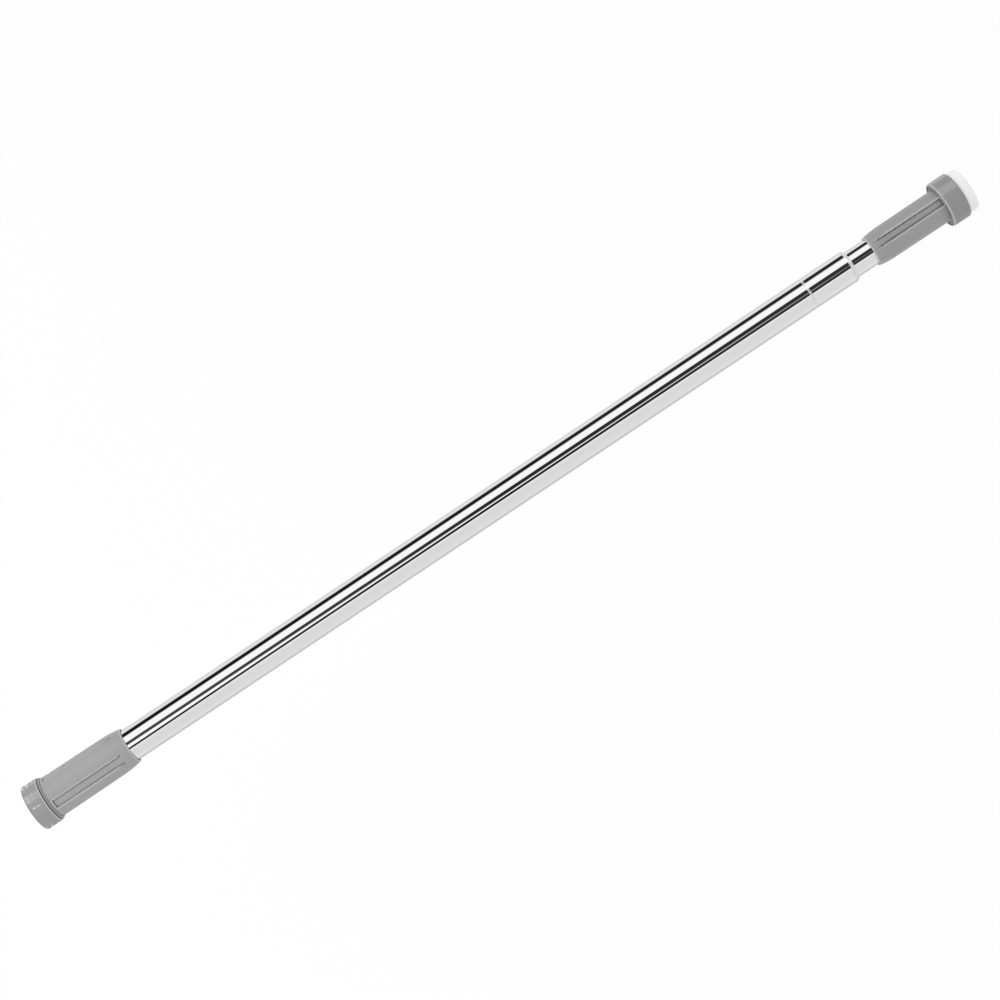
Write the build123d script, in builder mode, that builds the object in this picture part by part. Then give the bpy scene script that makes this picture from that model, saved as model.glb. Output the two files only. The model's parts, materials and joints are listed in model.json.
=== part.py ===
from build123d import *
import os
from math import acos, cos, hypot, sin

os.makedirs("parts", exist_ok=True)

# A telescopic shower curtain rod. It lies along +X, +Z is up and lengths are millimetres.
# The origin is the centre of the left wall pad's face.

# Clearances: seated pieces of one body, running fits, and pieces that pass each other
seat_gap = 0.05
running_gap = 0.08
passing_gap = 0.3

# Rounded and bevelled edges take at most this share of their wall
edge_share = 0.9

# Outer tube
tube_diameter = 25.0
tube_wall = 0.7
outer_tube_length = 690.1
nose_bend = 4.5
groove_from_end = 37.5
groove_width = 1.8
groove_depth = 0.35

# Inner tube: how much of it shows at rest, and the room left for the lock as the rod closes
inner_diameter = 21.0
inner_wall = 0.65
shown_length = 17.4
closing_room = 58.9

# End cups, one moulding used at both ends
cup_diameter = 36.0
cup_depth = 15.0
cup_round = 0.8
front_wall = 1.0
back_wall = 1.5
front_recess = 9.0
web_thickness = 2.0
spigot_length = 8.0
spigot_wall = 1.8

# Rubber wall pads, one moulding used at both ends
pad_depth = 9.0
pad_face = 3.5
pad_skirt = 2.2
pad_round = 1.0
tread_diameters = (12.0, 22.0)
tread_width = 1.2
tread_depth = 0.5
left_pad_proud = 0.6
right_pad_proud = 7.5

# Plates behind the pads
plate_floor = 2.0
plate_rim = 1.8
plate_hub = 20.0
rib_thickness = 1.4
rib_count = 6

# Grips: the left one fills the hollow back of its cup, but for a gap, and each mouth is a wall
# round its tube
grip_shoulder = 2.0
lip_round = 0.5
left_grip_length = 72.3
left_grip_gap = 0.5
left_grip_taper = 0.8
left_nose_length = 15.9
left_mouth_wall = 1.4
right_grip_length = 64.6
right_grip_back = 26.5
right_grip_taper = 0.4
right_nose_length = 13.9
right_mouth_wall = 1.05

# Channels moulded along the grips, each turned from the top towards -Y
channel_count = 4
panel_bevel = 0.3
left_channel_depth = 0.5
left_channel_width = 25.7
left_channel_turn = 21.4
left_channel_start = 5.7
right_channel_depth = 0.8
right_channel_width = 29.2
right_channel_turn = -8.7
right_channel_start = 3.7

# Plugs in the tube ends
plug_flange = 1.5
plug_wall = 1.6
plug_floor = 3.0
plug_length = 17.0
plug_boss = 9.0
spring_plug_length = 22.0

# Guide bush in the outer tube's nose
bush_length = 40.0

# Twist lock on the inner tube's hidden end
core_plug_length = 20.0
core_plug_wall = 3.0
core_flange = 2.0
neck_diameter = 17.0
neck_length = 10.0
neck_shoulder = 1.5
journal_diameter = 12.0
journal_length = 16.5
eccentricity = 1.0
cam_diameter = 22.0
cam_slot = 1.6
serration_count = 24
serration_size = 0.8
keeper_diameter = 18.0
keeper_thickness = 2.0
glide_slot = 2.0

# Sprung foot in the right end
stem_diameter = 8.0
spring_diameter = 14.5
spring_wire = 1.6
spring_turns = 5
wire_sides = 8
stop_washer_diameter = 14.0
stop_washer_thickness = 1.2

# Pan head screws with a cross recess
cup_screw_diameter = 4.0
cup_screw_length = 28.0
small_screw_diameter = 3.0
keeper_screw_length = 14.0
stop_screw_length = 12.0
head_share = 2.0
head_height = 2.4
recess_width = 0.8
recess_depth = 1.2

# Radii that follow from the sizes
tube_radius = tube_diameter / 2
tube_bore = tube_radius - tube_wall
inner_radius = inner_diameter / 2
inner_bore = inner_radius - inner_wall
cup_radius = cup_diameter / 2
pad_radius = cup_radius - front_wall - passing_gap
plate_radius = pad_radius - pad_skirt - seat_gap
spring_radius = spring_diameter / 2
spigot_bore = spring_radius + 2 * passing_gap
spigot_radius = spigot_bore + spigot_wall
plate_depth = pad_depth - pad_face
left_grip_back = cup_diameter - 2 * (back_wall + left_grip_gap)
left_grip_front = left_grip_back - left_grip_taper
left_grip_bore = tube_radius + seat_gap
left_mouth = 2 * (left_grip_bore + left_mouth_wall)
right_grip_front = right_grip_back - right_grip_taper
right_grip_bore = inner_radius + seat_gap
right_mouth = 2 * (right_grip_bore + right_mouth_wall)

# Places along the rod, from the left wall
left_rim = left_pad_proud
left_web_front = left_rim + front_recess
left_web_back = left_web_front + web_thickness
left_tube_seat = left_web_back + spigot_length + passing_gap + grip_shoulder
outer_start = left_tube_seat + plug_flange
outer_end = outer_start + outer_tube_length
groove_place = outer_end - groove_from_end
right_grip_mouth = outer_end + shown_length
right_web_back = right_grip_mouth + right_grip_length
right_web_front = right_web_back + web_thickness
right_rim = right_web_front + front_recess
right_face = right_rim + right_pad_proud
right_tube_seat = right_web_back - spigot_length - passing_gap - grip_shoulder
inner_end = right_tube_seat - plug_flange
foot_back = right_face - pad_depth
spring_plug_start = inner_end - spring_plug_length
spring_floor = spring_plug_start + plug_floor

# Places of the twist lock, from the left tube plug to the inner tube's hidden end
left_plug_end = outer_start + plug_length
keeper_start = left_plug_end + closing_room + head_height
journal_start = keeper_start + keeper_thickness
journal_end = journal_start + journal_length
neck_start = journal_end + neck_shoulder
neck_end = neck_start + neck_length
inner_start = neck_end + core_flange

# The outer tube's nose: its sheet bends in until it just clears the inner tube
bend_centre = tube_radius - nose_bend
lip_bore = inner_radius + passing_gap
nose_turn = acos((lip_bore - bend_centre) / (nose_bend - tube_wall))
bend_start = outer_end - nose_bend * sin(nose_turn)


def disc(start, end, radius, height=0.0, mode=Mode.ADD):
    """A disc from start to end along the rod, its axis at a height above the rod's."""
    with BuildSketch(Plane.YZ.offset(start)) as outline:
        with Locations((0, height)):
            Circle(radius)
    extrude(outline.sketch, amount=end - start, mode=mode)


def ring(start, end, radius, bore, mode=Mode.ADD):
    """A ring from start to end along the rod."""
    with BuildSketch(Plane.YZ.offset(start)) as outline:
        Circle(radius)
        Circle(bore, mode=Mode.SUBTRACT)
    extrude(outline.sketch, amount=end - start, mode=mode)


def end_cup(rim, inward):
    """A cup with its open front at rim, a web, a hollow back and a spigot into the grip."""
    front_bore = cup_radius - front_wall
    web_front = rim + inward * front_recess
    web_back = web_front + inward * web_thickness
    back = rim + inward * cup_depth
    spigot_end = web_back + inward * spigot_length
    with BuildSketch(Plane.XZ) as outline:
        with BuildLine():
            Polyline(
                (rim, front_bore),
                (rim, cup_radius),
                (back, cup_radius),
                (back, cup_radius - back_wall),
                (web_back, cup_radius - back_wall),
                (web_back, spigot_radius),
                (spigot_end, spigot_radius),
                (spigot_end, spigot_bore),
                (web_front, spigot_bore),
                (web_front, front_bore),
                close=True,
            )
        make_face()
        fillet(vertices().group_by(Axis.Y)[-1], radius=min(cup_round, edge_share * front_wall))
    revolve(outline.sketch, axis=Axis.X)


def wall_pad(face, inward):
    """A rubber cap with a treaded face and a skirt that grips its plate."""
    back = face + inward * pad_depth
    floor = face + inward * pad_face
    bore = pad_radius - pad_skirt
    with BuildSketch(Plane.XZ) as outline:
        with BuildLine():
            Polyline(
                (face, 0),
                (face, pad_radius),
                (back, pad_radius),
                (back, bore),
                (floor, bore),
                (floor, 0),
                close=True,
            )
        make_face()
        fillet(vertices().sort_by_distance((face, pad_radius))[0], radius=pad_round)
    revolve(outline.sketch, axis=Axis.X)
    for diameter in tread_diameters:
        inner = (diameter - tread_width) / 2
        outer = (diameter + tread_width) / 2
        ring(face, face + inward * tread_depth, outer, inner, Mode.SUBTRACT)


def ribbed_plate(face, inward):
    """A moulded plate with a rim, a hub and ribs, nested in the pad's skirt."""
    floor = face + inward * plate_floor
    back = face + inward * plate_depth
    rim_bore = plate_radius - plate_rim
    disc(face, floor, plate_radius)
    ring(floor, back, plate_radius, rim_bore)
    disc(floor, back, plate_hub / 2)
    with BuildSketch(Plane.YZ.offset(floor)) as outline:
        with PolarLocations((rim_bore + plate_hub / 2) / 2, rib_count):
            Rectangle(rim_bore - plate_hub / 2 + plate_rim, rib_thickness)
    extrude(outline.sketch, amount=back - floor)


def fluted_taper(first, past, first_radius, past_radius, width, turn, depth):
    """A solid taper with channels from end to end, the long edges of its panels bevelled."""
    with BuildSketch(Plane.XZ) as outline:
        with BuildLine():
            Polyline((first, 0), (first, first_radius), (past, past_radius), (past, 0), close=True)
        make_face()
    revolve(outline.sketch, axis=Axis.X)
    outside = 2 * first_radius
    for step in range(channel_count):
        side = turn - width / 2 + step * 360 / channel_count
        with BuildSketch(Plane.XZ.rotated((side, 0, 0))) as outline:
            with BuildLine():
                Polyline(
                    (first, first_radius - depth),
                    (past, past_radius - depth),
                    (past, outside),
                    (first, outside),
                    close=True,
                )
            make_face()
        revolve(outline.sketch, axis=Axis.X, revolution_arc=width, mode=Mode.SUBTRACT)
    half_run = abs(past - first) / 2
    long_edges = edges().filter_by(lambda edge: abs((edge @ 1).X - (edge @ 0).X) > half_run)
    outward = long_edges.sort_by(lambda edge: hypot((edge @ 0.5).Y, (edge @ 0.5).Z))
    chamfer(outward[-2 * channel_count :], length=min(panel_bevel, edge_share * depth))


def grip(
    back,
    inward,
    length,
    back_diameter,
    front_diameter,
    nose_length,
    mouth_diameter,
    bore,
    channel_start,
    channel_width,
    channel_turn,
    channel_depth,
):
    """A fluted taper with a plain collar and a rounded nose, bored for the spigot and a tube."""
    mouth = back + inward * length
    past = mouth + inward * lip_round
    nose = mouth - inward * nose_length
    first = back + inward * channel_start
    socket = back + inward * (spigot_length + passing_gap)
    tube_seat = socket + inward * grip_shoulder
    slope = (front_diameter - back_diameter) / 2 / (length - nose_length)
    first_radius = back_diameter / 2 + slope * channel_start
    past_radius = back_diameter / 2 + slope * (length + lip_round)
    fluted_taper(first, past, first_radius, past_radius, channel_width, channel_turn, channel_depth)
    with BuildSketch(Plane.XZ) as outline:
        with BuildLine():
            Polyline((back, 0), (back, back_diameter / 2), (first, first_radius), (first, 0), close=True)
        make_face()
    revolve(outline.sketch, axis=Axis.X)
    with BuildSketch(Plane.XZ) as outline:
        with BuildLine():
            nose_top = (nose, front_diameter / 2)
            lip = (mouth, mouth_diameter / 2)
            TangentArc(nose_top, lip, tangent=(inward, slope))
            Polyline(
                lip,
                (mouth, bore),
                (tube_seat, bore),
                (tube_seat, spigot_bore),
                (socket, spigot_bore),
                (socket, spigot_radius + seat_gap),
                (back, spigot_radius + seat_gap),
                (back, 0),
                (past, 0),
                (past, back_diameter),
                (nose, back_diameter),
                nose_top,
            )
        make_face()
        fillet(vertices().sort_by_distance(lip)[0], radius=lip_round)
    revolve(outline.sketch, axis=Axis.X, mode=Mode.SUBTRACT)


def screw(seat, inward, diameter, length, height=0.0):
    """A pan head screw whose head sits on seat and whose shank runs inward."""
    head_face = seat - inward * head_height
    head_radius = diameter * head_share / 2
    disc(head_face, seat, head_radius, height)
    rim = edges().filter_by(GeomType.CIRCLE).sort_by(Axis.X)
    fillet(rim[0] if inward > 0 else rim[-1], radius=head_height / 3)
    disc(seat, seat + inward * length, diameter / 2, height)
    with BuildSketch(Plane.YZ.offset(head_face)) as outline:
        with Locations((0, height)):
            Rectangle(head_radius, recess_width)
            Rectangle(recess_width, head_radius)
    extrude(outline.sketch, amount=inward * recess_depth, mode=Mode.SUBTRACT)


# Left end: rubber pad, its plate, the cup and the screw that holds them

with BuildPart() as left_wall_pad:
    wall_pad(0, 1)

with BuildPart() as left_foot_plate:
    ribbed_plate(pad_face, 1)
    disc(pad_depth, left_web_front, plate_hub / 2)
    disc(left_web_front, left_tube_seat - passing_gap, spigot_bore - seat_gap)
    screw_seat = pad_face + head_height + passing_gap
    head_clearance = cup_screw_diameter * head_share / 2 + passing_gap
    disc(pad_face, screw_seat, head_clearance, mode=Mode.SUBTRACT)
    disc(pad_face, left_tube_seat, cup_screw_diameter / 2 + seat_gap, mode=Mode.SUBTRACT)

with BuildPart() as left_cup:
    end_cup(left_rim, 1)

with BuildPart() as left_cup_screw:
    screw(screw_seat, 1, cup_screw_diameter, cup_screw_length)

# The big grip on the outer tube

with BuildPart() as left_grip:
    grip(
        left_web_back,
        1,
        left_grip_length,
        left_grip_back,
        left_grip_front,
        left_nose_length,
        left_mouth,
        left_grip_bore,
        left_channel_start,
        left_channel_width,
        left_channel_turn,
        left_channel_depth,
    )

with BuildPart() as left_tube_plug:
    disc(left_tube_seat, outer_start, tube_radius)
    ring(outer_start, left_plug_end, tube_bore - seat_gap, tube_bore - seat_gap - plug_wall)
    disc(left_tube_seat, left_tube_seat + plug_floor, tube_bore - seat_gap)
    disc(left_tube_seat, left_plug_end, plug_boss / 2)
    disc(left_tube_seat, left_plug_end, cup_screw_diameter / 2 + seat_gap, mode=Mode.SUBTRACT)

# Outer tube with its pressed ring and rolled nose, and the guide bush that they hold

with BuildPart() as outer_tube:
    half_groove = groove_width / 2
    with BuildSketch(Plane.XZ):
        with BuildLine():
            for radius, bend in ((tube_radius, nose_bend), (tube_bore, nose_bend - tube_wall)):
                Line((outer_start, radius), (groove_place - half_groove, radius))
                ThreePointArc(
                    (groove_place - half_groove, radius),
                    (groove_place, radius - groove_depth),
                    (groove_place + half_groove, radius),
                )
                Line((groove_place + half_groove, radius), (bend_start, radius))
                lip = (bend_start + bend * sin(nose_turn), bend_centre + bend * cos(nose_turn))
                TangentArc((bend_start, radius), lip, tangent=(1, 0))
            Line((outer_start, tube_radius), (outer_start, tube_bore))
            Line(
                (outer_end, bend_centre + nose_bend * cos(nose_turn)),
                (bend_start + (nose_bend - tube_wall) * sin(nose_turn), lip_bore),
            )
        make_face()
    revolve(axis=Axis.X)

with BuildPart() as guide_bush:
    bush_end = bend_start - seat_gap
    bush_start = bush_end - bush_length
    bush_radius = tube_bore - seat_gap
    bush_bore = inner_radius + running_gap
    half_notch = groove_width / 2 + seat_gap
    with BuildSketch(Plane.XZ):
        with BuildLine():
            ThreePointArc(
                (groove_place - half_notch, bush_radius),
                (groove_place, bush_radius - groove_depth),
                (groove_place + half_notch, bush_radius),
            )
            Polyline(
                (groove_place + half_notch, bush_radius),
                (bush_end, bush_radius),
                (bush_end, bush_bore),
                (bush_start, bush_bore),
                (bush_start, bush_radius),
                (groove_place - half_notch, bush_radius),
            )
        make_face()
    revolve(axis=Axis.X)

# Twist lock: a core pressed in the inner tube, with an eccentric journal for the cam

with BuildPart() as lock_core:
    disc(inner_start, inner_start + core_plug_length, inner_bore - seat_gap)
    disc(
        neck_end,
        inner_start + core_plug_length,
        inner_bore - seat_gap - core_plug_wall,
        mode=Mode.SUBTRACT,
    )
    disc(neck_end, inner_start, inner_radius)
    disc(neck_start, neck_end, neck_diameter / 2)
    disc(journal_end, neck_start, inner_radius)
    disc(journal_start, journal_end, journal_diameter / 2, eccentricity)
    keeper_hole_end = journal_start + keeper_screw_length
    keeper_hole = small_screw_diameter / 2 + seat_gap
    disc(journal_start, keeper_hole_end, keeper_hole, eccentricity, Mode.SUBTRACT)

with BuildPart() as glide_ring:
    ring_start = neck_start + passing_gap
    ring_end = neck_end - passing_gap
    ring(ring_start, ring_end, tube_bore - running_gap, neck_diameter / 2 + running_gap)
    with BuildSketch(Plane.YZ.offset(ring_start)):
        with Locations((0, tube_bore / 2)):
            Rectangle(glide_slot, tube_bore)
    extrude(amount=ring_end - ring_start, mode=Mode.SUBTRACT)

with BuildPart() as lock_cam:
    with BuildSketch(Plane.YZ.offset(journal_start + passing_gap)):
        Circle(cam_diameter / 2)
        with PolarLocations(cam_diameter / 2, serration_count):
            Rectangle(serration_size, serration_size, rotation=45, mode=Mode.SUBTRACT)
        with Locations((0, eccentricity)):
            Circle(journal_diameter / 2 + running_gap, mode=Mode.SUBTRACT)
        with Locations((0, cam_diameter / 2)):
            Rectangle(cam_slot, cam_diameter, mode=Mode.SUBTRACT)
    extrude(amount=journal_length - 2 * passing_gap)

with BuildPart() as cam_keeper:
    disc(keeper_start, journal_start, keeper_diameter / 2, eccentricity)
    disc(keeper_start, journal_start, keeper_hole, eccentricity, Mode.SUBTRACT)

with BuildPart() as keeper_screw:
    screw(keeper_start, 1, small_screw_diameter, keeper_screw_length, eccentricity)

# Inner tube with its small grip, cup and spring plug

with BuildPart() as inner_tube:
    ring(inner_start, inner_end, inner_radius, inner_bore)

with BuildPart() as right_grip:
    grip(
        right_web_back,
        -1,
        right_grip_length,
        right_grip_back,
        right_grip_front,
        right_nose_length,
        right_mouth,
        right_grip_bore,
        right_channel_start,
        right_channel_width,
        right_channel_turn,
        right_channel_depth,
    )

with BuildPart() as right_tube_plug:
    disc(inner_end, right_tube_seat, inner_radius)
    disc(spring_plug_start, inner_end, inner_bore - seat_gap)
    disc(spring_floor, right_tube_seat, spigot_bore, mode=Mode.SUBTRACT)
    stem_hole = stem_diameter / 2 + passing_gap
    disc(spring_plug_start, spring_floor, stem_hole, mode=Mode.SUBTRACT)

with BuildPart() as right_cup:
    end_cup(right_rim, -1)

# Sprung foot: the right pad on a stem that slides through the cup against a spring

with BuildPart() as right_wall_pad:
    wall_pad(right_face, -1)

with BuildPart() as foot_plunger:
    ribbed_plate(right_face - pad_face, -1)
    disc(spring_plug_start, foot_back, stem_diameter / 2)
    stop_hole_end = spring_plug_start + stop_screw_length
    disc(
        spring_plug_start,
        stop_hole_end,
        small_screw_diameter / 2 + seat_gap,
        mode=Mode.SUBTRACT,
    )

with BuildPart() as stop_washer:
    washer_start = spring_plug_start - stop_washer_thickness
    washer_hole = small_screw_diameter / 2 + seat_gap
    ring(washer_start, spring_plug_start, stop_washer_diameter / 2, washer_hole)

with BuildPart() as stop_screw:
    screw(washer_start, 1, small_screw_diameter, stop_screw_length)

with BuildPart() as foot_spring:
    spring_start = spring_floor + spring_wire / 2 + passing_gap
    spring_length = foot_back - spring_floor - spring_wire - 2 * passing_gap
    with BuildLine():
        coil = Helix(
            pitch=spring_length / spring_turns,
            height=spring_length,
            radius=spring_radius - spring_wire / 2,
            center=(spring_start, 0, 0),
            direction=(1, 0, 0),
        )
    with BuildSketch(Plane(origin=coil @ 0, z_dir=coil % 0)):
        RegularPolygon(radius=spring_wire / 2, side_count=wire_sides)
    sweep()

pieces = {
    "left_wall_pad": left_wall_pad,
    "left_foot_plate": left_foot_plate,
    "left_cup": left_cup,
    "left_cup_screw": left_cup_screw,
    "left_grip": left_grip,
    "left_tube_plug": left_tube_plug,
    "outer_tube": outer_tube,
    "guide_bush": guide_bush,
    "glide_ring": glide_ring,
    "lock_cam": lock_cam,
    "lock_core": lock_core,
    "cam_keeper": cam_keeper,
    "keeper_screw": keeper_screw,
    "inner_tube": inner_tube,
    "right_grip": right_grip,
    "right_tube_plug": right_tube_plug,
    "right_cup": right_cup,
    "right_wall_pad": right_wall_pad,
    "foot_plunger": foot_plunger,
    "stop_washer": stop_washer,
    "stop_screw": stop_screw,
    "foot_spring": foot_spring,
}

for name, piece in pieces.items():
    piece.part.label = name
    export_step(piece.part, f"parts/{name}.step")
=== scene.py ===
import json
from math import acos, cos, pi, radians, sin

import bpy
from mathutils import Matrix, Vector


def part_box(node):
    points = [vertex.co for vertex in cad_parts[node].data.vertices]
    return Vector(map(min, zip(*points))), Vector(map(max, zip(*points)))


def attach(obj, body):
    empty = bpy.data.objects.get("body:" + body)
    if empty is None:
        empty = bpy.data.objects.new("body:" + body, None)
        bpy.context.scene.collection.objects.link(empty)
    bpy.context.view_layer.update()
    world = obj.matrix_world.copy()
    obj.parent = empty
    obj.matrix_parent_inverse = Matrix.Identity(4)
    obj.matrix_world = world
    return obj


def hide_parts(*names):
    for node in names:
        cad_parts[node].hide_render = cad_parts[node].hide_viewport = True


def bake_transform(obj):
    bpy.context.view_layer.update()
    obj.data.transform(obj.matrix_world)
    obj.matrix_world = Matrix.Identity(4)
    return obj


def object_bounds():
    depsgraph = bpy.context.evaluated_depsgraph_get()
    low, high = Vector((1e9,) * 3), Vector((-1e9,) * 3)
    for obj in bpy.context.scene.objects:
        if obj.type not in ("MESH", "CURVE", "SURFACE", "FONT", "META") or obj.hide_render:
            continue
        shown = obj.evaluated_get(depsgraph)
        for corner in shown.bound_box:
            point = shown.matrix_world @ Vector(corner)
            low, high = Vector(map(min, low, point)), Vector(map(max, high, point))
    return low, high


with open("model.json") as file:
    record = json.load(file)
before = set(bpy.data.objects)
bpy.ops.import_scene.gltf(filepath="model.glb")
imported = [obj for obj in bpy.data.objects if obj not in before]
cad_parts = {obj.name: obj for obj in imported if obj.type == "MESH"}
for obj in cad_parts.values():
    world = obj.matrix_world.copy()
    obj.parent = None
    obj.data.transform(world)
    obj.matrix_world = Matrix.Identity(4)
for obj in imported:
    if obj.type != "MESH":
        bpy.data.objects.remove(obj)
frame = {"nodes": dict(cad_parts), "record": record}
CAD_BOX = [list(corner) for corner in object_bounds()]

MM = 0.001
NODES = frame["nodes"]

# Sizes that the seen tubes repeat from the frame, in millimetres
ROD_END = CAD_BOX[1][0] / MM
TUBE_START, TUBE_END = (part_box("outer_tube")[side][0] / MM for side in (0, 1))
TUBE_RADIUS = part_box("outer_tube")[1][2] / MM
INNER_START, INNER_END = (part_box("inner_tube")[side][0] / MM for side in (0, 1))
INNER_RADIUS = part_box("inner_tube")[1][2] / MM

# Sizes of the tubes that a box doesn't give, the same as the CAD's, in millimetres
TUBE_WALL = 0.7
INNER_WALL = 0.65
NOSE_BEND = 4.5
LIP_BORE = INNER_RADIUS + 0.3
GROOVE_FROM_END = 37.5
GROOVE_HALF_WIDTH = 0.9
GROOVE_DEPTH = 0.35

TURN_STEPS = 144
ARC_STEPS = 8
SMOOTH_ANGLE = radians(38)
WELD = 1e-6

# The photograph looks straight down on the rod, which rises to the right in the picture
ROD_TILT = radians(33.66)
CAMERA_HEIGHT = 1.623
CAMERA_X = 0.4065
CAMERA_Y = -0.0007
LENS = 80.3

FLOOR_DEPTH = 0.3
FLOOR_SIZE = 8.0
FLOOR_GLOW = 0.92

# What matt pieces are lit by, from the lower side of the picture to the upper
DOME = ((0, 1.0), (0.25, 0.8), (0.5, 0.55), (0.75, 0.85), (1, 1.25))


# Shader maths

class Socket:
    """One output of a shader node, used in expressions."""

    def __init__(self, graph, output):
        self.graph = graph
        self.output = output

    def math(self, operation, first, second):
        inputs = {0: first, 1: second}
        return self.graph.node("ShaderNodeMath", {"operation": operation}, inputs)

    def __add__(self, other):
        return self.math("ADD", self, other)

    def __radd__(self, other):
        return self.math("ADD", other, self)

    def __sub__(self, other):
        return self.math("SUBTRACT", self, other)

    def __rsub__(self, other):
        return self.math("SUBTRACT", other, self)

    def __mul__(self, other):
        return self.math("MULTIPLY", self, other)

    def __rmul__(self, other):
        return self.math("MULTIPLY", other, self)

    def __truediv__(self, other):
        return self.math("DIVIDE", self, other)

    def __abs__(self):
        return self.graph.node("ShaderNodeMath", {"operation": "ABSOLUTE"}, {0: self})


class Graph:
    """The node tree of one material or of the world."""

    def __init__(self, owner):
        owner.use_nodes = True
        self.tree = owner.node_tree
        self.tree.nodes.clear()

    def node(self, kind, settings=None, inputs=None, output=0):
        made = self.tree.nodes.new(kind)
        for name, value in (settings or {}).items():
            if name == "stops":
                self.set_stops(made.color_ramp, value)
            else:
                setattr(made, name, value)
        for name, value in (inputs or {}).items():
            if isinstance(value, Socket):
                self.tree.links.new(value.output, made.inputs[name])
            else:
                made.inputs[name].default_value = value
        return Socket(self, made.outputs[output]) if made.outputs else made

    def set_stops(self, ramp, stops):
        while len(ramp.elements) > 1:
            ramp.elements.remove(ramp.elements[-1])
        ramp.elements[0].position = stops[0][0]
        ramp.elements[0].color = (stops[0][1],) * 3 + (1,)
        for place, level in stops[1:]:
            ramp.elements.new(place).color = (level,) * 3 + (1,)

    def place(self, scale=(1, 1, 1)):
        """The point on the piece, in metres times scale."""
        spot = self.node("ShaderNodeTexCoord", output="Object")
        return self.node("ShaderNodeMapping", inputs={"Vector": spot, "Scale": scale})

    def noise(self, where, scale, detail=2.0):
        inputs = {"Vector": where, "Scale": scale, "Detail": detail}
        return self.node("ShaderNodeTexNoise", inputs=inputs)

    def remap(self, value, low, high, to_low, to_high):
        inputs = {0: value, 1: low, 2: high, 3: to_low, 4: to_high}
        return self.node("ShaderNodeMapRange", inputs=inputs)

    def ramp(self, share, stops):
        return self.node("ShaderNodeValToRGB", {"stops": stops}, {"Fac": share})

    def part(self, vector, axis):
        return self.node("ShaderNodeSeparateXYZ", inputs={"Vector": vector}, output=axis)

    def grey(self, low, high, mask):
        """A grey between two levels."""
        return self.mix(mask, (low,) * 3 + (1,), (high,) * 3 + (1,))

    def mix(self, mask, first, second):
        made = self.tree.nodes.new("ShaderNodeMix")
        made.data_type = "RGBA"
        for slot, value in ((0, mask), (6, first), (7, second)):
            if isinstance(value, Socket):
                self.tree.links.new(value.output, made.inputs[slot])
            else:
                made.inputs[slot].default_value = value
        return Socket(self, made.outputs[2])

    def nearness(self, distance, inside=False, only_local=False):
        """0 where a surface faces another closer than distance, or has a corner behind it."""
        settings = {"samples": 12, "inside": inside, "only_local": only_local}
        return self.node("ShaderNodeAmbientOcclusion", settings, {"Distance": distance}, "AO")

    def bump(self, height, distance, strength=1.0):
        inputs = {"Height": height, "Distance": distance, "Strength": strength}
        return self.node("ShaderNodeBump", inputs=inputs)

    def surface(self, **inputs):
        named = {name.replace("_", " "): value for name, value in inputs.items()}
        shader = self.node("ShaderNodeBsdfPrincipled", inputs=named)
        self.node("ShaderNodeOutputMaterial", inputs={"Surface": shader})


def material(name):
    return bpy.data.materials.new(name)


# Finishes

PLASTIC_IOR = 1.49

# Satin plastic: how far the painted shade in corners and the painted highlight on edges reach, and
# their share of its own grey
CORNER_REACH = 0.004
EDGE_REACH = 0.001
CORNER_SHADE = 0.1
PAINTED_EDGE_SHINE = 1.65

# The cups' plastic: its greys for a painted highlight on back edges, painted shade on front rims
# and painted shade at contacts. A front rim lies this far from the rod's middle, in metres.
PAINTED_SHOULDER_HIGHLIGHT = 0.48
PAINTED_RIM_SHADE = 0.04
CONTACT_SHADE = 0.02
CONTACT_REACH = 0.0015
FRONT_RIM = (0.397, 0.401)


def chrome():
    """Polished plate: very slight waves and faint draw lines along the tube."""
    made = material("polished_chrome")
    graph = Graph(made)
    lines = graph.noise(graph.place(scale=(6, 900, 900)), scale=1.0, detail=3.0)
    waves = graph.noise(graph.place(scale=(8, 30, 30)), scale=1.0)
    graph.surface(
        Base_Color=graph.grey(0.86, 0.92, lines),
        Metallic=1.0,
        Roughness=graph.remap(lines, 0.3, 0.7, 0.012, 0.03),
        Normal=graph.bump(waves, distance=0.00002, strength=0.3),
    )
    return made


def moulded_plastic(name, low, high, rough):
    """Moulded plastic: tool grain, a slight cloudiness, painted shade in corners and channels, and a
    painted highlight on edges.
    """
    made = material(name)
    graph = Graph(made)
    grain = graph.noise(graph.place(), scale=2600.0, detail=3.0)
    clouds = graph.noise(graph.place(), scale=60.0)
    plain = graph.grey(low, high, clouds)
    # Painted shade: occlusion darkens corners, channel walls and channel floors
    corner = graph.remap(graph.nearness(CORNER_REACH, only_local=True), 0.92, 0.998, 0, 1)
    # Painted highlight: convex edges are made lighter than the plastic's own grey
    painted_edge_highlight = graph.remap(graph.nearness(EDGE_REACH, inside=True), 0.88, 0.995, 1, 0)
    with_painted_corner_shade = graph.mix(corner, (low * CORNER_SHADE,) * 3 + (1,), plain)
    graph.surface(
        Base_Color=graph.mix(painted_edge_highlight, with_painted_corner_shade, (high * PAINTED_EDGE_SHINE,) * 3 + (1,)),
        Roughness=graph.remap(grain, 0.3, 0.7, rough * 0.85, rough * 1.15),
        Normal=graph.bump(grain, distance=0.00003, strength=0.35),
        IOR=PLASTIC_IOR,
    )
    return made


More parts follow.
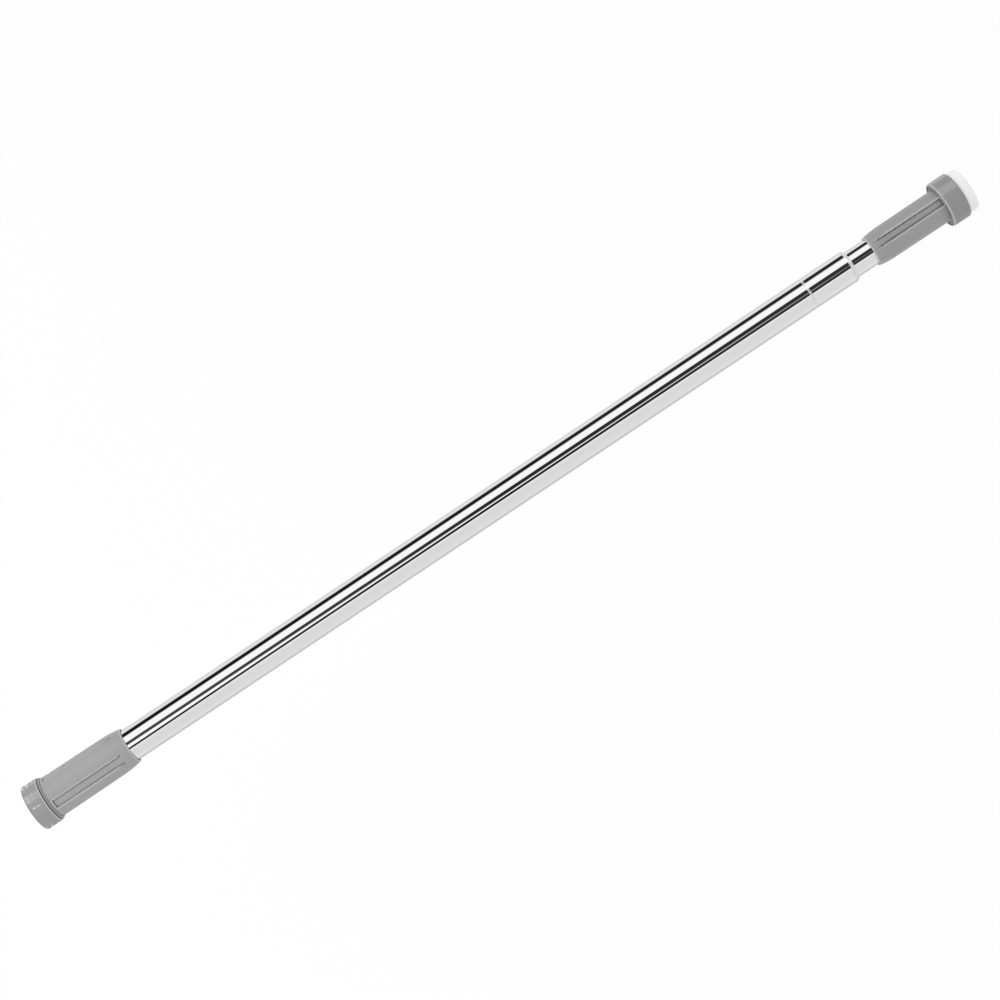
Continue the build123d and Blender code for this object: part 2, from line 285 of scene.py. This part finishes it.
def polished_plastic():
    """The cups' shiny plastic: a painted highlight on back edges, painted shade on front rims and at
    contacts.
    """
    made = material("grey_polished_plastic")
    graph = Graph(made)
    clouds = graph.noise(graph.place(), scale=60.0)
    grain = graph.noise(graph.place(), scale=2600.0, detail=3.0)
    plain = graph.grey(0.29, 0.31, clouds)
    spot = graph.node("ShaderNodeTexCoord", output="Object")
    facing = graph.node("ShaderNodeNewGeometry", output="Normal")
    off_middle = abs(graph.part(spot, "X") - ROD_END / 2 * MM)
    lean = abs(graph.part(facing, "X"))
    # Painted highlight where the surface leans along the rod, on the back shoulders; painted shade on
    # the front rims
    painted_highlight_mask = graph.remap(lean, 0.04, 0.2, 0, 1) * graph.remap(lean, 0.5, 0.62, 1, 0)
    front = graph.remap(off_middle, *FRONT_RIM, 0, 1)
    with_painted_highlight_and_rim_shade = graph.mix(painted_highlight_mask, plain, graph.grey(PAINTED_SHOULDER_HIGHLIGHT, PAINTED_RIM_SHADE, front))
    # Painted shade where the cup comes close to other pieces
    corner = graph.remap(graph.nearness(CONTACT_REACH), 0.6, 0.98, 0, 1)
    graph.surface(
        Base_Color=graph.mix(corner, (CONTACT_SHADE,) * 3 + (1,), with_painted_highlight_and_rim_shade),
        Roughness=graph.remap(grain, 0.3, 0.7, 0.013, 0.017),
        Normal=graph.bump(grain, distance=0.0000002, strength=0.35),
        IOR=PLASTIC_IOR,
    )
    return made


def rubber():
    """Soft white rubber, matt, with a fine dusty grain."""
    made = material("white_rubber")
    graph = Graph(made)
    grain = graph.noise(graph.place(), scale=1800.0, detail=4.0)
    clouds = graph.noise(graph.place(), scale=90.0)
    graph.surface(
        Base_Color=graph.grey(0.89, 0.93, clouds),
        Roughness=graph.remap(grain, 0.3, 0.7, 0.6, 0.75),
        Normal=graph.bump(grain, distance=0.00004, strength=0.4),
    )
    return made


def plated_steel(name, low, high):
    """Plated or oiled steel with a mottled shine."""
    made = material(name)
    graph = Graph(made)
    mottle = graph.noise(graph.place(), scale=900.0, detail=4.0)
    graph.surface(
        Base_Color=graph.grey(low, high, mottle),
        Metallic=1.0,
        Roughness=graph.remap(mottle, 0.3, 0.7, 0.25, 0.42),
        Normal=graph.bump(mottle, distance=0.00002, strength=0.3),
    )
    return made


CHROME = chrome()
SATIN_GREY = moulded_plastic("grey_satin_plastic", low=0.315, high=0.34, rough=0.42)
POLISHED_GREY = polished_plastic()
NYLON = moulded_plastic("natural_nylon", low=0.74, high=0.8, rough=0.5)
RUBBER = rubber()
SCREW_STEEL = plated_steel("zinc_plated_steel", low=0.5, high=0.68)
SPRING_STEEL = plated_steel("oiled_spring_steel", low=0.3, high=0.42)

FINISHES = {
    "chrome_tube": CHROME,
    "grey_plastic": SATIN_GREY,
    "white_nylon": NYLON,
    "white_rubber": RUBBER,
    "screw_steel": SCREW_STEEL,
    "spring_steel": SPRING_STEEL,
}
POLISHED_NODES = ("left_cup", "right_cup")
SLOT_OF = {part["node"]: part["material_slot"] for part in frame["record"]["subparts"]}
BODY_OF = {
    node: body
    for body, members in frame["record"]["behaviour"]["bodies"].items()
    for node in members
}


def finish_of(node):
    return POLISHED_GREY if node in POLISHED_NODES else FINISHES[SLOT_OF[node]]


def dress(piece, finish):
    piece.data.materials.clear()
    piece.data.materials.append(finish)


for name, node in NODES.items():
    dress(node, finish_of(name))


# Making pieces

def stand_in(piece, node):
    """Puts a finished piece in place of a CAD node, on the same body."""
    dress(piece, finish_of(node))
    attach(piece, BODY_OF[node])
    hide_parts(node)


def edit(piece):
    bpy.ops.object.select_all(action="DESELECT")
    piece.select_set(True)
    bpy.context.view_layer.objects.active = piece
    bpy.ops.object.mode_set(mode="EDIT")
    bpy.ops.mesh.select_all(action="SELECT")


def leave(piece):
    """Back to object mode with soft shading, crisp corners and large faces kept straight."""
    bpy.ops.object.mode_set(mode="OBJECT")
    bpy.ops.object.shade_smooth_by_angle(angle=SMOOTH_ANGLE)
    bpy.ops.object.modifier_add(type="WEIGHTED_NORMAL")
    weighting = piece.modifiers[-1]
    weighting.keep_sharp = True
    bpy.ops.object.modifier_apply(modifier=weighting.name)
    piece.select_set(False)


def turned(name, outline):
    """Extrudes a closed outline of (place, radius) in millimetres and spins it about the rod."""
    bpy.ops.object.select_all(action="DESELECT")
    bpy.ops.mesh.primitive_plane_add(size=MM)
    piece = bpy.context.object
    piece.name = name
    piece.data.name = name
    edit(piece)
    bpy.ops.mesh.merge(type="CENTER")
    at = (0, 0)
    for step, point in enumerate(outline):
        move = ((point[0] - at[0]) * MM, 0, (point[1] - at[1]) * MM)
        if step == 0:
            bpy.ops.transform.translate(value=move)
        else:
            bpy.ops.mesh.extrude_region_move(TRANSFORM_OT_translate={"value": move})
        at = point
    move = ((outline[0][0] - at[0]) * MM, 0, (outline[0][1] - at[1]) * MM)
    bpy.ops.mesh.extrude_region_move(TRANSFORM_OT_translate={"value": move})
    bpy.ops.mesh.select_all(action="SELECT")
    bpy.ops.mesh.remove_doubles(threshold=WELD)
    bpy.ops.mesh.spin(steps=TURN_STEPS, angle=2 * pi, center=(0, 0, 0), axis=(1, 0, 0))
    bpy.ops.mesh.select_all(action="SELECT")
    bpy.ops.mesh.remove_doubles(threshold=WELD)
    bpy.ops.mesh.normals_make_consistent(inside=False)
    leave(piece)
    return piece


def arc(centre, radius, start, end):
    """Points on an arc, its angles counted from the rod's outward direction towards +X."""
    turns = [start + (end - start) * step / ARC_STEPS for step in range(ARC_STEPS + 1)]
    return [(centre[0] + radius * sin(turn), centre[1] + radius * cos(turn)) for turn in turns]


def groove(radius):
    """The pressed ring's dip, as an arc through its two edges and its floor."""
    middle = TUBE_END - GROOVE_FROM_END
    bend = (GROOVE_HALF_WIDTH**2 + GROOVE_DEPTH**2) / (2 * GROOVE_DEPTH)
    half_turn = acos((bend - GROOVE_DEPTH) / bend)
    return arc((middle, radius - GROOVE_DEPTH + bend), bend, pi + half_turn, pi - half_turn)


# Chromed tubes

def outer_outline():
    nose_centre = TUBE_RADIUS - NOSE_BEND
    nose_turn = acos((LIP_BORE - nose_centre) / (NOSE_BEND - TUBE_WALL))
    bend_start = TUBE_END - NOSE_BEND * sin(nose_turn)
    bore = TUBE_RADIUS - TUBE_WALL
    outside = [(TUBE_START, TUBE_RADIUS)]
    outside += groove(TUBE_RADIUS)
    outside += arc((bend_start, nose_centre), NOSE_BEND, 0, nose_turn)
    inside = [(TUBE_START, bore)]
    inside += groove(bore)
    inside += arc((bend_start, nose_centre), NOSE_BEND - TUBE_WALL, 0, nose_turn)
    return outside + inside[::-1]


def inner_outline():
    bore = INNER_RADIUS - INNER_WALL
    return [
        (INNER_START, INNER_RADIUS),
        (INNER_END, INNER_RADIUS),
        (INNER_END, bore),
        (INNER_START, bore),
    ]


stand_in(turned("outer_tube_chrome", outer_outline()), "outer_tube")
stand_in(turned("inner_tube_chrome", inner_outline()), "inner_tube")


# Moulded pieces keep their CAD form, with soft shading over its small faces

def copied(name, node):
    """A copy of a CAD node's mesh, with one point where faces meet."""
    piece = bpy.data.objects.new(name, NODES[node].data.copy())
    bpy.context.scene.collection.objects.link(piece)
    edit(piece)
    bpy.ops.mesh.remove_doubles(threshold=WELD)
    leave(piece)
    return piece


for node in ("left_grip", "right_grip", "left_wall_pad", "right_wall_pad"):
    stand_in(copied(f"{node}_moulding", node), node)


# The foot's spring, between the inner tube's plug and the plunger: a soft-shaded copy of its CAD wire

def spring():
    piece = copied("foot_spring_wire", "foot_spring")
    dress(piece, finish_of("foot_spring"))
    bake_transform(piece)
    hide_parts("foot_spring")


spring()


# End cups: the CAD's moulding with the soft shoulder that the photograph shows at its back.
# Sizes in millimetres, places by their depth behind the rim.

CUP_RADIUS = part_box("left_cup")[1][2] / MM
CUP_DEPTH = 15.0
CUP_ROUND = 0.8
WEB_FRONT = 9.0
WEB_BACK = 11.0
SPIGOT_END = 19.0
SPIGOT_RADIUS = 9.65
SPIGOT_BORE = 7.85
FRONT_WALL = 1.0
BACK_WALL = 1.5
FRONT_BORE = CUP_RADIUS - FRONT_WALL
BACK_BORE = CUP_RADIUS - BACK_WALL
SHOULDER_DROP = 1.0

# A narrow gap and a sloping collar follow the left cup's shoulder
GAP_START = 13.2
GAP_END = 13.6
LEFT_SHOULDER = (11.8, GAP_START)
GAP_FLOOR = BACK_BORE + 0.15
COLLAR_TOP = BACK_BORE + 1.0
COLLAR_TIP = BACK_BORE - 0.35
COLLAR_LIP = 0.2

# The right cup's back closes round its grip
RIGHT_SHOULDER = (13.4, CUP_DEPTH)
BACK_SHEET_FRONT = 14.6
GRIP_HOLE = 13.4


def end_cup(node, rim, inward, shoulder, back):
    """A cup whose wall rounds off over its shoulder and goes on inwards along its back."""
    start, end = shoulder
    quarter = [pi / 2 * step / ARC_STEPS for step in range(ARC_STEPS + 1)]
    outline = [(WEB_FRONT, FRONT_BORE), (0, FRONT_BORE)]
    for turn in quarter:
        outline.append((CUP_ROUND * (1 - cos(turn)), CUP_RADIUS - CUP_ROUND * (1 - sin(turn))))
    for turn in quarter:
        fall = SHOULDER_DROP * (1 - cos(turn))
        outline.append((start + (end - start) * sin(turn), CUP_RADIUS - fall))
    outline += back
    outline += [
        (WEB_BACK, SPIGOT_RADIUS),
        (SPIGOT_END, SPIGOT_RADIUS),
        (SPIGOT_END, SPIGOT_BORE),
        (WEB_FRONT, SPIGOT_BORE),
    ]
    placed = [(rim + inward * depth, radius) for depth, radius in outline]
    stand_in(turned(f"{node}_moulding", placed), node)


LEFT_BACK = [
    (GAP_START, GAP_FLOOR),
    (GAP_END, GAP_FLOOR),
    (GAP_END, COLLAR_TOP),
    (CUP_DEPTH, COLLAR_TIP),
    (CUP_DEPTH - COLLAR_LIP, COLLAR_TIP),
    (CUP_DEPTH - COLLAR_LIP, BACK_BORE),
    (WEB_BACK, BACK_BORE),
]
RIGHT_BACK = [
    (CUP_DEPTH, BACK_BORE),
    (BACK_SHEET_FRONT, BACK_BORE),
    (BACK_SHEET_FRONT, GRIP_HOLE),
    (WEB_BACK, GRIP_HOLE),
]
LEFT_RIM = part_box("left_cup")[0][0] / MM
RIGHT_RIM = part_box("right_cup")[1][0] / MM
end_cup("left_cup", LEFT_RIM, 1, LEFT_SHOULDER, LEFT_BACK)
end_cup("right_cup", RIGHT_RIM, -1, RIGHT_SHOULDER, RIGHT_BACK)


# Floor, light and camera

def floor():
    bpy.ops.object.select_all(action="DESELECT")
    bpy.ops.mesh.primitive_plane_add(size=FLOOR_SIZE, location=(ROD_END / 2 * MM, 0, -FLOOR_DEPTH))
    sheet = bpy.context.object
    sheet.name = "floor"
    made = material("white_paper")
    graph = Graph(made)
    seen = graph.node("ShaderNodeLightPath", output="Is Camera Ray")
    paper = graph.node("ShaderNodeBsdfDiffuse", inputs={"Color": (0.9, 0.9, 0.9, 1)})
    glow = graph.node("ShaderNodeEmission", inputs={"Color": (1, 1, 1, 1), "Strength": 1.0})
    mixed = graph.node("ShaderNodeMixShader", inputs={0: seen * FLOOR_GLOW, 1: paper, 2: glow})
    graph.node("ShaderNodeOutputMaterial", inputs={"Surface": mixed})
    dress(sheet, made)
    sheet.visible_glossy = False


# The room as polished pieces see it: long cards beside the rod, by their angle in degrees
# from straight up towards -Y. A bright strip and a dark one near the camera bow at the left.
WHITE_CARD = 1.04
STRIP_BOW = 6.5
TUBE_REACH = 0.19
END_REACH = 0.23
TILT_REACH = 0.3


def card_levels(black, shadow, shade, strip_start, strip, strip_end, ink, ink_end):
    """The levels round the tubes, by angle: dark, white and dark again, a strip, and ink."""
    return (
        (-180, 0.76), (-136, 0.75), (-126, 0.84), (-105, 0.87), (-101, black),
        (-85, black), (-73, shadow), (-69, WHITE_CARD), (-31, WHITE_CARD), (-27, shade),
        (strip_start - 1.5, shade), (strip_start + 1.5, strip), (strip_end - 1.5, strip),
        (strip_end + 1.5, ink), (ink_end, ink), (ink_end + 3, 0.94), (24, 0.88), (30, 0.79), (45, 0.77),
        (85, 0.78), (100, 0.82), (114, 0.82), (122, 0.76), (130, 0.65), (140, 0.56),
        (150, 0.6), (165, 0.72), (180, 0.78),
    )


LEFT_CARDS = card_levels(0.01, 0.015, 0.055, -9, 1.15, 3, 0.005, 15)
MIDDLE_CARDS = card_levels(0.015, 0.02, 0.02, -5, 1.25, 0.8, 0.005, 15)
RIGHT_CARDS = card_levels(0.02, 0.08, 0.03, -4.5, 0.16, 1, 0.02, 15)
# What the cups see
END_CARDS = (
    (-180, 0.4), (-155, 0.6), (-142, 1.8), (-125, 2.0), (-116, 0.5), (-78, 0.5), (-68, 3.4),
    (-38, 3.4), (-28, 0.4), (60, 0.4), (90, 0.7), (140, 0.9), (155, 0.6), (180, 0.4),
)
# What faces that lean along the rod see
TILT_CARDS = (
    (-180, 0.7), (-112, 0.8), (-102, 0.72), (-88, 0.62), (-74, 0.74), (-66, 0.95), (-34, 0.95),
    (-22, 0.65), (-10, 0.6), (6, 0.65), (24, 0.74), (90, 0.74), (115, 0.8), (140, 0.6), (180, 0.7),
)
# The window's bars and two glints, by their place along the left cup
PANES = (
    (0, 1.2), (0.29, 1.2), (0.34, 0.15), (0.4, 0.15), (0.45, 1.2), (0.57, 1.2), (0.62, 0.3),
    (0.7, 0.3), (0.76, 0.7), (1, 0.6),
)
GLINTS = (
    (0.1, 0), (0.14, 1), (0.24, 1), (0.29, 0.1), (0.44, 0.1), (0.51, 1), (0.59, 1), (0.63, 0.2),
    (0.9, 0.2), (1, 0),
)
PANES_START = -0.246
PANES_END = -0.2355
GLINT_LEVEL = 14.0
GLINT_ANGLE = -2


def cards_seen(graph, share, levels):
    return graph.ramp(share, [((at + 180) / 360, level) for at, level in levels])


def room(graph):
    """What polished pieces see in each direction."""
    way = graph.node("ShaderNodeTexCoord", output="Generated")
    along, side, height = (graph.part(way, axis) for axis in "XYZ")
    turn = graph.node("ShaderNodeMath", {"operation": "ARCTAN2"}, {0: side * -1.0, 1: height})
    angle = turn * (180 / pi)
    reach = abs(along)
    leftwards = graph.remap(along, -TUBE_REACH, 0, 1, 0)
    rightwards = graph.remap(along, 0, TUBE_REACH, 0, 1)
    strips = graph.remap(angle, -6, 4, 0, 1) * graph.remap(angle, 30, 60, 1, 0)
    bowed = angle - leftwards * leftwards * STRIP_BOW * strips
    share = bowed / 360 + 0.5
    left, middle, right, end, lean = (
        cards_seen(graph, share, levels)
        for levels in (LEFT_CARDS, MIDDLE_CARDS, RIGHT_CARDS, END_CARDS, TILT_CARDS)
    )
    place = graph.remap(along, PANES_START, PANES_END, 0, 1)
    glint = graph.ramp(place, GLINTS) * graph.remap(abs(angle - GLINT_ANGLE), 1, 4, GLINT_LEVEL, 0)
    end = end * graph.ramp(place, PANES) + glint
    beside = graph.mix(rightwards, graph.mix(leftwards, middle, left), right)
    beyond = graph.mix(graph.remap(reach, TUBE_REACH + 0.01, END_REACH, 0, 1), beside, end)
    tilted = graph.remap(reach, END_REACH + 0.02, TILT_REACH, 0, 1)
    return graph.mix(tilted, beyond, lean), side


def studio():
    """White to the camera, cards to polished pieces and a plain dome to all the rest."""
    world = bpy.data.worlds.new("studio")
    bpy.context.scene.world = world
    graph = Graph(world)
    cards, side = room(graph)
    share = graph.remap(side, -1, 1, 0, 1)
    dome = graph.ramp(share, DOME)
    mirrored = graph.node("ShaderNodeLightPath", output="Is Glossy Ray")
    seen = graph.node("ShaderNodeLightPath", output="Is Camera Ray")
    shown = graph.mix(seen, graph.mix(mirrored, dome, cards), (1, 1, 1, 1))
    lit = graph.node("ShaderNodeBackground", inputs={"Color": shown, "Strength": 1.0})
    graph.node("ShaderNodeOutputWorld", inputs={"Surface": lit})


def soft_box(name, place, aim, size, power):
    bpy.ops.object.light_add(type="AREA", location=place)
    lamp = bpy.context.object
    lamp.name = name
    lamp.data.size = size
    lamp.data.energy = power
    lamp.rotation_euler = (Vector(place) - Vector(aim)).to_track_quat("Z", "Y").to_euler()
    lamp.visible_glossy = False


def camera():
    bpy.ops.object.camera_add(location=(CAMERA_X, CAMERA_Y, CAMERA_HEIGHT))
    made = bpy.context.object
    made.rotation_euler = (0, 0, -ROD_TILT)
    made.data.lens = LENS
    made.data.sensor_width = 36
    bpy.context.scene.camera = made


floor()
studio()
soft_box("key_box", place=(-0.35, 0.6, 1.0), aim=(0.15, 0, 0), size=0.6, power=4.8)
soft_box("fill_box", place=(-0.35, -0.8, 0.7), aim=(0.05, 0, 0), size=0.5, power=2.0)
camera()

bpy.context.scene.view_settings.view_transform = "Standard"
